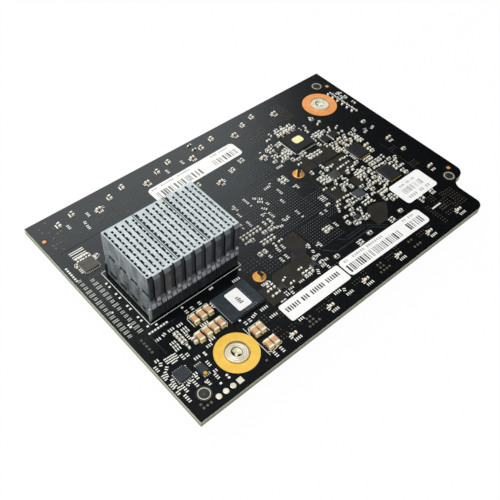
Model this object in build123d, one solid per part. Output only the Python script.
from build123d import *
import math
import os

# Flash storage mezzanine card. It lies on the fins of its heat sink with the connector
# side up. Lengths are in millimetres. X runs along the board, Y across it, Z up.
# The origin is under the middle of the board, on the surface that the fins stand on.
# Places on the board are measured from its square corner at the lowest X and Y.

# Board outline, with one stepped corner at the highest X and lowest Y
board_length = 133.35
board_width = 88.9
board_thickness = 2.36
step_length = 8.1
step_width = 14.1
step_inner_radius = 4.0
step_outer_radius = 3.8
step_end_radius = 3.0

# Plated holes in the board
plating_thickness = 0.1
tooling_hole_radius = 1.4
tooling_inset = 6.1
tooling_step_offset = 2.5

# Fixing points: ring pad, pressed-in sleeve and captive screw
near_fixing_x = 21.4
near_fixing_y = 10.1
far_fixing_inset_x = 13.5
far_fixing_inset_y = 15.0
ring_pad_radius = 6.75
sleeve_flange_radius = 3.63
sleeve_flange_thickness = 0.6
sleeve_body_radius = 2.7
sleeve_below_board = 2.0
sleeve_bore_radius = 1.74
sleeve_lip_radius = 1.3
sleeve_lip_thickness = 1.0
running_clearance = 0.08
screw_thread_radius = 1.5
screw_thread_length = 3.4
screw_travel = 4.0
screw_head_radius = 3.5
screw_head_height = 2.6
screw_drive_radius = 1.6
screw_drive_depth = 1.6
screw_stop_clearance = 0.05

# Controller package under the board, its thermal pad and its heat sink
sink_center_x = 65.46
sink_center_y = 38.76
sink_length = 52.0
sink_width = 38.0
sink_height = 9.0
sink_base_thickness = 2.2
sink_fin_thickness = 1.2
sink_fin_pitch = 3.3
thermal_pad_size = 28.0
thermal_pad_thickness = 0.4
controller_size = 31.0
controller_board_thickness = 1.2
controller_lid_size = 27.0
controller_lid_height = 1.7
controller_lid_bevel = 0.8

# Spring-loaded split pins that hold the heat sink
pin_spacing_x = 41.48
pin_spacing_y = 25.04
pin_shank_radius = 1.45
pin_hole_clearance = 0.15
pin_head_radius = 2.9
pin_head_thickness = 1.0
pin_head_rest = 0.8
pin_barb_radius = 1.95
pin_barb_height = 1.4
pin_tip_radius = 1.1
pin_slot_width = 0.9
pin_slot_depth = 4.2
pin_pocket_clearance = 1.5
spring_wire = 0.6
near_pin_slot_angle = 0
far_pin_slot_angle = -45

# Flash packages under the board, in one row along each long edge
flash_depth = 18.0
flash_height = 1.2
lower_flash_width = 12.0
lower_flash_pitch = 15.63
lower_flash_first_x = 46.1
lower_flash_y = 10.4
upper_flash_width = 14.0
upper_flash_pitch = 19.76
upper_flash_first_x = 13.3
upper_flash_inset_y = 15.4

# Power inductors under the board
inductor_size = 7.2
inductor_height = 3.5
inductor_bevel = 0.6
inductor_pitch = 10.0
inductor_end_inset = 21.85
inductor_first_y = 30.0
inductor_columns = 2
inductor_rows = 3

# Connector: three housing modules over a row of wafers
connector_left = 9.6
connector_front = 34.55
module_width = 10.98
module_count = 3
module_gap = 0.12
columns_per_module = 6
connector_depth = 21.8
connector_height = 19.5
hood_height = 9.5
slot_cell = 5.4
slot_width = 0.5
slot_length = 1.55
slot_first_center = 4.2
slot_edge_wall = 0.4
slot_floor = 1.2
rib_width = 2.0
rib_depth = 0.9
rib_bevel_height = 2.4
wafer_gap = 0.25
wafer_foot_height = 0.8
wafer_reach = 0.7
wafer_shoulder_height = 6.2
wafer_slope_height = 1.8
contact_thickness = 0.2
contact_length = 1.0
contact_height = 7.5
solder_strip_width = 0.7
solder_strip_inset = 1.2
hold_down_size = 0.5
hold_down_height = 5.5

# Packages on the connector side, as length, width and height
memory_chip_size = (12.8, 10.1, 1.2)
memory_chip_gap = 3.0
memory_chip_drop = 2.9
sticker_size = (5.0, 7.4)
sticker_corner = 0.7
paper_thickness = 0.1
clock_chip_size = (9.4, 9.0, 1.5)
clock_chip_shares = (0.7315, 0.714)
clock_cover_size = (4.2, 3.1)
power_controller_size = (5.4, 6.6, 0.9)
power_controller_shares = [(0.8353, 0.518), (0.8353, 0.3515)]
driver_chip_size = (3.5, 3.2, 1.0)
driver_chip_shares = [(0.715, 0.4793), (0.715, 0.3485)]
switch_chip_size = (2.6, 3.4, 1.0)
switch_chip_shares = [(0.801, 0.651), (0.8315, 0.651)]
monitor_chip_size = (4.8, 4.8, 0.8)
monitor_chip_x = 7.5
monitor_chip_gap = 4.7
logic_chip_size = (4.0, 4.0, 0.9)
logic_chip_shares = (0.039, 0.162)
latch_chip_size = (2.4, 3.2, 0.9)
latch_chip_shares = (0.0787, 0.137)
gate_chip_size = (1.7, 1.7, 0.9)
gate_chip_sink_shares = [(-0.355, -0.53), (-0.087, -0.53)]
end_gate_chip_shares = [(0.6655, 0.722), (0.6505, 0.2665)]
chip_bevel = 0.15

# Labels, as length and width
serial_label_size = (38.3, 6.9)
serial_label_x = 59.5
serial_label_inset = 14.0
origin_label_size = (25.5, 6.6)
label_y = 10.8
label_gap = 0.6
first_label_gap = 12.8
part_label_size = (38.2, 6.7)
inspection_label_size = (15.8, 9.7)
inspection_label_inset = 20.2
inspection_label_y = 21.5
label_corner = 0.6

# Tan block capacitors, placed from the near fixing by shares of the ring pad radius
block_capacitor_size = (1.65, 3.1, 1.2)
block_capacitor_ring_shares = [
    (-0.31, 2.42), (0.09, 2.42), (0.46, 2.42),
    (-0.70, 1.57), (-0.30, 1.57), (0.07, 1.57), (0.44, 1.57),
    (1.27, 0.26), (1.59, 0.26), (1.27, -0.59), (1.59, -0.59),
]

# Small capacitors beside the flash rows
edge_capacitor_size = (1.6, 0.85, 0.8)
lower_edge_first_x = 38.2
lower_edge_y = 4.1
upper_edge_first_x = 23.0
upper_edge_inset = 7.7
bypass_capacitor_size = (0.9, 1.7, 0.6)
bypass_first_x = 9.4
bypass_second_x = 15.3
bypass_first_inset = 5.5
bypass_second_inset = 4.0

# Rows of small parts, as the place of the first one, columns and rows
small_part_size = (0.8, 1.6, 0.5)
small_part_pitch_x = 1.5
small_part_pitch_y = 2.1
power_part_shares = [
    (0.716, 0.617, 4, 1), (0.71, 0.805, 5, 1), (0.645, 0.745, 2, 1), (0.6675, 0.692, 3, 1),
    (0.788, 0.7, 3, 1), (0.7, 0.3, 3, 1), (0.76, 0.3, 3, 1), (0.76, 0.42, 3, 1),
    (0.672, 0.48, 2, 1), (0.868, 0.57, 2, 1),
]
logic_part_sink_shares = [
    (-0.284, 0.063, 6, 1), (-0.207, -0.084, 4, 1), (-0.413, -0.470, 2, 1),
    (-0.182, -0.552, 3, 1), (0.164, -0.318, 2, 1), (0.254, 0.360, 2, 1),
]
end_part_offset_x = 7.65
end_part_offset_y = 10.5
end_part_count = 6
end_part_pitch = 2.55

# Heights of the main planes above the surface that the fins stand on
under_board = sink_height + thermal_pad_thickness + controller_lid_height + controller_board_thickness
board_top = under_board + board_thickness
wafer_top = board_top + connector_height - hood_height
pin_radius_in_hole = pin_shank_radius + pin_hole_clearance

# Where the rows along the long edges end, and the line of the upper flash row
lower_row_end = board_length - step_length
upper_row_end = board_length - far_fixing_inset_x - ring_pad_radius
upper_flash_y = board_width - upper_flash_inset_y

# Left ends of the two labels in line beside the near fixing
origin_label_left = near_fixing_x + ring_pad_radius + first_label_gap
part_label_left = origin_label_left + origin_label_size[0] + label_gap


def place(x, y, z):
    """Move from the board's square corner to the part's own frame."""
    return Pos(x - board_length / 2, y - board_width / 2, z)


def share_place(shares, z):
    """Place at a share of the board's length and width."""
    return place(shares[0] * board_length, shares[1] * board_width, z)


def near_fixing(z):
    return place(near_fixing_x, near_fixing_y, z)


def far_fixing(z):
    return place(board_length - far_fixing_inset_x, board_width - far_fixing_inset_y, z)


def sink_place(z):
    return place(sink_center_x, sink_center_y, z)


def sink_share_place(shares, z):
    """Place at a share of the sink's length and width from its middle."""
    return sink_place(z) * Pos(shares[0] * sink_length, shares[1] * sink_width, 0)


def copies(first, pitch, end):
    """How many places there are at this pitch, from the first one to the end."""
    return math.floor((end - first) / pitch) + 1


def pin_places(z):
    near = place(sink_center_x - pin_spacing_x / 2, sink_center_y - pin_spacing_y / 2, z)
    far = place(sink_center_x + pin_spacing_x / 2, sink_center_y + pin_spacing_y / 2, z)
    return [near, far]


def tooling_places(z):
    near = place(tooling_inset, tooling_inset, z)
    far = place(board_length - tooling_inset, board_width - tooling_inset, z)
    step = place(board_length - tooling_inset, step_width + tooling_step_offset, z)
    return [near, far, step]


def block(length, width, height):
    """Box that stands on its own origin."""
    return Box(length, width, height, align=(Align.CENTER, Align.CENTER, Align.MIN))


def disc(radius, height):
    return Cylinder(radius, height, align=(Align.CENTER, Align.CENTER, Align.MIN))


def turned(points):
    """Solid of revolution about its own upright axis, from radius and height points."""
    return revolve(Plane.XZ * make_face(Polyline(*points, close=True)), Axis.Z)


def package(size, bevel):
    """Moulded chip package with a bevelled upper edge, standing on its origin."""
    body = block(*size)
    return chamfer(body.faces().sort_by(Axis.Z)[-1].edges(), bevel)


def group(solids):
    """Like pieces, each its own solid, kept together under one name."""
    return Compound(children=[solid for item in solids for solid in item.solids()])


def circuit_board():
    """Laminate board with its stepped corner and every drilled hole."""
    blank = Rectangle(board_length, board_width)
    step = Rectangle(step_length, step_width, align=(Align.MAX, Align.MIN))
    corner = (board_length / 2, -board_width / 2)
    outline = blank - Pos(*corner) * step
    rounds = [
        ((board_length / 2, step_width - board_width / 2), step_outer_radius),
        ((board_length / 2 - step_length, step_width - board_width / 2), step_inner_radius),
        ((board_length / 2 - step_length, -board_width / 2), step_end_radius),
    ]
    for point, radius in rounds:
        vertex = outline.vertices().sort_by_distance((*point, 0))[0]
        outline = fillet(vertex, radius)
    board = Pos(0, 0, under_board) * extrude(outline, board_thickness)
    for spot in tooling_places(under_board):
        board -= spot * disc(tooling_hole_radius, board_thickness)
    for spot in pin_places(under_board):
        board -= spot * disc(pin_radius_in_hole, board_thickness)
    for spot in (near_fixing(under_board), far_fixing(under_board)):
        board -= spot * disc(sleeve_body_radius, board_thickness)
    return board


def ring_pads():
    """Plated ring round each fixing point, under the flange of its sleeve."""
    ring = disc(ring_pad_radius, plating_thickness) - disc(sleeve_body_radius, plating_thickness)
    return group([near_fixing(board_top) * ring, far_fixing(board_top) * ring])


def screw_sleeve(fixing):
    """Turned sleeve with a flange above the board and a threaded lip at its foot."""
    foot = -board_thickness - sleeve_below_board
    top = plating_thickness + sleeve_flange_thickness
    inner = foot + sleeve_lip_thickness
    points = [
        (sleeve_lip_radius, foot),
        (sleeve_body_radius, foot),
        (sleeve_body_radius, plating_thickness),
        (sleeve_flange_radius, plating_thickness),
        (sleeve_flange_radius, top),
        (sleeve_bore_radius, top),
        (sleeve_bore_radius, inner),
        (sleeve_lip_radius, inner),
    ]
    return fixing(board_top) * turned(points)


def captive_screw(fixing):
    """Screw that hangs by its thread on the sleeve's lip, with its head below."""
    lip_foot = -board_thickness - sleeve_below_board
    shoulder = lip_foot + sleeve_lip_thickness + screw_stop_clearance
    head_top = lip_foot - screw_travel - screw_stop_clearance
    head_foot = head_top - screw_head_height
    neck_radius = sleeve_lip_radius - running_clearance
    tip = shoulder + screw_thread_length
    points = [
        (0, head_foot),
        (screw_head_radius, head_foot),
        (screw_head_radius, head_top),
        (neck_radius, head_top),
        (neck_radius, shoulder),
        (screw_thread_radius, shoulder),
        (screw_thread_radius, tip),
        (0, tip),
    ]
    drive = extrude(RegularPolygon(screw_drive_radius, 6), screw_drive_depth)
    return fixing(board_top) * (turned(points) - Pos(0, 0, head_foot) * drive)


def column_x(column):
    """Middle of one contact column across all the modules."""
    column_pitch = module_width / columns_per_module
    return connector_left + (column + 1 / 2) * column_pitch


def slot_spans(column):
    """Lowest and highest Y of each slot in a column. Odd columns are a quarter cell further back."""
    stagger = slot_cell / 4 if column % 2 else 0
    spans = []
    for cell in range(math.ceil(connector_depth / slot_cell)):
        middle = slot_first_center + stagger + cell * slot_cell
        if middle + slot_length / 2 < connector_depth - slot_edge_wall:
            spans.append((middle - slot_length / 2, middle + slot_length / 2))
    return spans


def housing_rib():
    """Upright rib on the housing's wall, leaning back to the wall at its top."""
    profile = Polyline(
        (0, 0),
        (0, hood_height),
        (-rib_depth, hood_height - rib_bevel_height),
        (-rib_depth, 0),
        close=True,
    )
    return extrude(Plane.YZ * make_face(profile), rib_width / 2, both=True)


def connector_housing(module):
    """Moulded module with its slots, and ribs on its front and back walls."""
    width = module_width - module_gap
    left = connector_left + module * module_width
    hood = place(left + module_width / 2, connector_front, wafer_top) * Box(
        width, connector_depth, hood_height, align=(Align.CENTER, Align.MIN, Align.MIN)
    )
    first = module * columns_per_module
    cuts = []
    for column in range(first, first + columns_per_module):
        for low, high in slot_spans(column):
            spot = place(column_x(column), connector_front + (low + high) / 2, wafer_top + slot_floor)
            cuts.append(spot * block(slot_width, high - low, hood_height))
        if column % 2:
            hood += place(column_x(column), connector_front, wafer_top) * housing_rib()
        else:
            back = place(column_x(column), connector_front + connector_depth, wafer_top)
            hood += back * Rot(0, 0, 180) * housing_rib()
    return hood - cuts


def wafer(column):
    """Upright wafer whose ends reach past the housing and slope back to it."""
    top = connector_height - hood_height
    low = wafer_shoulder_height + wafer_slope_height
    front, back = (low, top) if column % 2 else (top, low)
    points = [
        (-wafer_reach, wafer_foot_height),
        (-wafer_reach, wafer_shoulder_height),
        (0, front),
        (0, top),
        (connector_depth, top),
        (connector_depth, back),
        (connector_depth + wafer_reach, wafer_shoulder_height),
        (connector_depth + wafer_reach, wafer_foot_height),
    ]
    # A slope that runs to the top meets the top corner, so that pair is one point
    profile = make_face(Polyline(*dict.fromkeys(points), close=True))
    thickness = module_width / columns_per_module - wafer_gap
    body = extrude(Plane.YZ * profile, thickness / 2, both=True)
    return place(column_x(column), connector_front, board_top) * body


def wafer_columns():
    return range(module_count * columns_per_module)


def connector_wafers():
    return group([wafer(column) for column in wafer_columns()])


def connector_contacts():
    """Upright contact blade that stands on the floor of each slot."""
    blades = []
    for column in wafer_columns():
        for low, high in slot_spans(column):
            spot = place(column_x(column), connector_front + (low + high) / 2, wafer_top + slot_floor)
            blades.append(spot * block(contact_thickness, contact_length, contact_height))
    return group(blades)


def connector_solder():
    """Row of solder joints, run together, that holds each wafer off the board."""
    strip = block(solder_strip_width, connector_depth - 2 * solder_strip_inset, wafer_foot_height)
    middle = connector_front + connector_depth / 2
    return group([place(column_x(column), middle, board_top) * strip for column in wafer_columns()])


def connector_hold_downs():
    """Metal posts at the four corners of the wafer block, soldered to the board."""
    posts = []
    wafer_thickness = module_width / columns_per_module - wafer_gap
    left = column_x(0) - wafer_thickness / 2 - hold_down_size / 2
    right = column_x(module_count * columns_per_module - 1) + wafer_thickness / 2 + hold_down_size / 2
    for x in (left, right):
        for y in (connector_front, connector_front + connector_depth):
            posts.append(place(x, y, board_top) * block(hold_down_size, hold_down_size, hold_down_height))
    return group(posts)


def heat_sink():
    """Extruded aluminium base and fins, with a pocket and hole round each pin."""
    base = block(sink_length, sink_width, sink_base_thickness)
    sink = Pos(0, 0, sink_height - sink_base_thickness) * base
    fin_height = sink_height - sink_base_thickness
    count = math.floor((sink_width - sink_fin_thickness) / sink_fin_pitch) + 1
    for index in range(count):
        y = (index - (count - 1) / 2) * sink_fin_pitch
        sink += Pos(0, y, 0) * block(sink_length, sink_fin_thickness, fin_height)
    sink = sink_place(0) * sink
    pocket_size = 2 * (pin_head_radius + pin_pocket_clearance)
    for spot in pin_places(0):
        sink -= spot * block(pocket_size, pocket_size, fin_height)
        sink -= spot * disc(pin_radius_in_hole, sink_height)
    return sink


def split_pin(slot_angle):
    """Turned brass pin: head, shank, and a barbed tip split by a slot."""
    head_top = pin_head_rest + pin_head_thickness
    points = [
        (0, pin_head_rest),
        (pin_head_radius, pin_head_rest),
        (pin_head_radius, head_top),
        (pin_shank_radius, head_top),
        (pin_shank_radius, board_top),
        (pin_barb_radius, board_top),
        (pin_tip_radius, board_top + pin_barb_height),
        (0, board_top + pin_barb_height),
    ]
    slot = block(pin_slot_width, 2 * pin_barb_radius, pin_slot_depth + pin_barb_height)
    return turned(points) - Pos(0, 0, board_top - pin_slot_depth) * Rot(0, 0, slot_angle) * slot


def pin_springs():
    """Spring pressed together between each pin's head and the underside of the sink's base."""
    length = sink_height - sink_base_thickness - pin_head_rest - pin_head_thickness
    coil = disc(pin_radius_in_hole + spring_wire, length) - disc(pin_radius_in_hole, length)
    return group([spot * coil for spot in pin_places(pin_head_rest + pin_head_thickness)])


def under_package(size, bevel):
    """Package that hangs under the board, with its bevelled face down."""
    return Pos(0, 0, under_board) * Rot(180, 0, 0) * package(size, bevel)


def flash_row(first_x, pitch, end, width, y):
    """Packages under the board, as many as fit before the end."""
    body = Pos(0, 0, under_board - flash_height) * block(width, flash_depth, flash_height)
    count = copies(first_x, pitch, end - width / 2)
    return group([place(first_x + index * pitch, y, 0) * body for index in range(count)])


def power_inductors():
    body = under_package((inductor_size, inductor_size, inductor_height), inductor_bevel)
    spots = []
    for column in range(inductor_columns):
        for row in range(inductor_rows):
            x = board_length - inductor_end_inset - column * inductor_pitch
            spots.append(place(x, inductor_first_y + row * inductor_pitch, 0))
    return group([spot * body for spot in spots])


def chips(size, spots):
    return group([spot * package(size, chip_bevel) for spot in spots])


def share_chips(size, shares):
    return chips(size, [share_place(share, board_top) for share in shares])


def memory_chip_place(z):
    """Beside the near pin of the heat sink."""
    x = sink_center_x - pin_spacing_x / 2 - pin_barb_radius - memory_chip_gap - memory_chip_size[0] / 2
    return place(x, sink_center_y - pin_spacing_y / 2 - memory_chip_drop, z)


def monitor_chip_place(z):
    """Behind the connector's back wall."""
    y = connector_front + connector_depth + monitor_chip_gap + monitor_chip_size[1] / 2
    return place(monitor_chip_x, y, z)


def gate_chips():
    """Small chips: two beside the controller, two in the power section."""
    spots = [sink_share_place(share, board_top) for share in gate_chip_sink_shares]
    spots += [share_place(share, board_top) for share in end_gate_chip_shares]
    return chips(gate_chip_size, spots)


def block_capacitors():
    """Tan block capacitors in groups round the near fixing."""
    spots = []
    for x_share, y_share in block_capacitor_ring_shares:
        shift = Pos(x_share * ring_pad_radius, y_share * ring_pad_radius, 0)
        spots.append(near_fixing(board_top) * shift)
    return end_capped_row(block_capacitor_size, spots)


def label(size, corner):
    """Thin paper label with its corners cut."""
    return extrude(chamfer(Rectangle(*size).vertices(), corner), paper_thickness)


def board_label(size, x, y):
    return place(x, y, board_top) * label(size, label_corner)


def end_capped_row(size, spots):
    return group([spot * block(*size) for spot in spots])


def edge_capacitors():
    """Tan capacitors between the flash packages, along both long edges."""
    spots = []
    for index in range(copies(lower_edge_first_x, lower_flash_pitch, lower_row_end)):
        spots.append(place(lower_edge_first_x + index * lower_flash_pitch, lower_edge_y, board_top))
    for index in range(copies(upper_edge_first_x, upper_flash_pitch, upper_row_end)):
        x = upper_edge_first_x + index * upper_flash_pitch
        spots.append(place(x, board_width - upper_edge_inset, board_top))
    return end_capped_row(edge_capacitor_size, spots)


def bypass_capacitors():
    """Pairs of small capacitors over the upper flash row."""
    spots = []
    for index in range(copies(bypass_second_x, upper_flash_pitch, upper_row_end)):
        shift = index * upper_flash_pitch
        spots.append(place(bypass_first_x + shift, board_width - bypass_first_inset, board_top))
        spots.append(place(bypass_second_x + shift, board_width - bypass_second_inset, board_top))
    return end_capped_row(bypass_capacitor_size, spots)


def small_parts(rows, find_place):
    """Rows of small upright parts, each row from the share of its first one."""
    spots = []
    for x_share, y_share, columns, lines in rows:
        first = find_place((x_share, y_share), board_top)
        for column in range(columns):
            for line in range(lines):
                spots.append(first * Pos(column * small_part_pitch_x, line * small_part_pitch_y, 0))
    return end_capped_row(small_part_size, spots)


def end_parts():
    """Line of small parts by the far fixing point."""
    spots = []
    for index in range(end_part_count):
        step = index * end_part_pitch - end_part_offset_y
        spots.append(far_fixing(board_top) * Pos(end_part_offset_x, step, 0))
    turned = (small_part_size[1], small_part_size[0], small_part_size[2])
    return end_capped_row(turned, spots)


def all_parts():
    """Every piece under the name that it is kept by."""
    pin_spots = pin_places(0)
    sticker = label(sticker_size, sticker_corner)
    cover = label(clock_cover_size, sticker_corner)
    chip_top = board_top + memory_chip_size[2]
    clock_top = board_top + clock_chip_size[2]
    lid_size = (controller_lid_size, controller_lid_size, controller_lid_height)
    lid_drop = -controller_board_thickness
    pad_block = block(thermal_pad_size, thermal_pad_size, thermal_pad_thickness)
    substrate = block(controller_size, controller_size, controller_board_thickness)
    parts = {
        "circuit_board": circuit_board(),
        "ring_pads": ring_pads(),
        "screw_sleeves": group([screw_sleeve(near_fixing), screw_sleeve(far_fixing)]),
        "near_captive_screw": captive_screw(near_fixing),
        "far_captive_screw": captive_screw(far_fixing),
        "connector_wafers": connector_wafers(),
        "connector_contacts": connector_contacts(),
        "connector_solder_joints": connector_solder(),
        "connector_hold_downs": connector_hold_downs(),
        "controller_package": sink_place(under_board - controller_board_thickness) * substrate,
        "controller_lid": sink_place(lid_drop) * under_package(lid_size, controller_lid_bevel),
        "thermal_pad": sink_place(sink_height) * pad_block,
        "heat_sink": heat_sink(),
        "near_heat_sink_pin": pin_spots[0] * split_pin(near_pin_slot_angle),
        "far_heat_sink_pin": pin_spots[1] * split_pin(far_pin_slot_angle),
        "heat_sink_springs": pin_springs(),
        "lower_flash_packages": flash_row(
            lower_flash_first_x, lower_flash_pitch, lower_row_end, lower_flash_width, lower_flash_y
        ),
        "upper_flash_packages": flash_row(
            upper_flash_first_x, upper_flash_pitch, upper_row_end, upper_flash_width, upper_flash_y
        ),
        "power_inductors": power_inductors(),
        "memory_chip": chips(memory_chip_size, [memory_chip_place(board_top)]),
        "memory_chip_sticker": memory_chip_place(chip_top) * sticker,
        "clock_chip": share_chips(clock_chip_size, [clock_chip_shares]),
        "clock_chip_cover": share_place(clock_chip_shares, clock_top) * cover,
        "power_controller_chips": share_chips(power_controller_size, power_controller_shares),
        "driver_chips": share_chips(driver_chip_size, driver_chip_shares),
        "switch_chips": share_chips(switch_chip_size, switch_chip_shares),
        "monitor_chip": chips(monitor_chip_size, [monitor_chip_place(board_top)]),
        "logic_chip": share_chips(logic_chip_size, [logic_chip_shares]),
        "latch_chip": share_chips(latch_chip_size, [latch_chip_shares]),
        "gate_chips": gate_chips(),
        "serial_label": board_label(
            serial_label_size, serial_label_x, board_width - serial_label_inset
        ),
        "origin_label": board_label(
            origin_label_size, origin_label_left + origin_label_size[0] / 2, label_y
        ),
        "part_label": board_label(part_label_size, part_label_left + part_label_size[0] / 2, label_y),
        "inspection_label": board_label(
            inspection_label_size, board_length - inspection_label_inset, inspection_label_y
        ),
        "block_capacitors": block_capacitors(),
        "edge_capacitors": edge_capacitors(),
        "bypass_capacitors": bypass_capacitors(),
        "power_section_parts": small_parts(power_part_shares, share_place),
        "logic_section_parts": small_parts(logic_part_sink_shares, sink_share_place),
        "end_section_parts": end_parts(),
    }
    for module, side in enumerate(["left", "middle", "right"][:module_count]):
        parts[f"connector_housing_{side}"] = connector_housing(module)
    return parts


os.makedirs("parts", exist_ok=True)
for name, shape in all_parts().items():
    export_step(shape, f"parts/{name}.step")
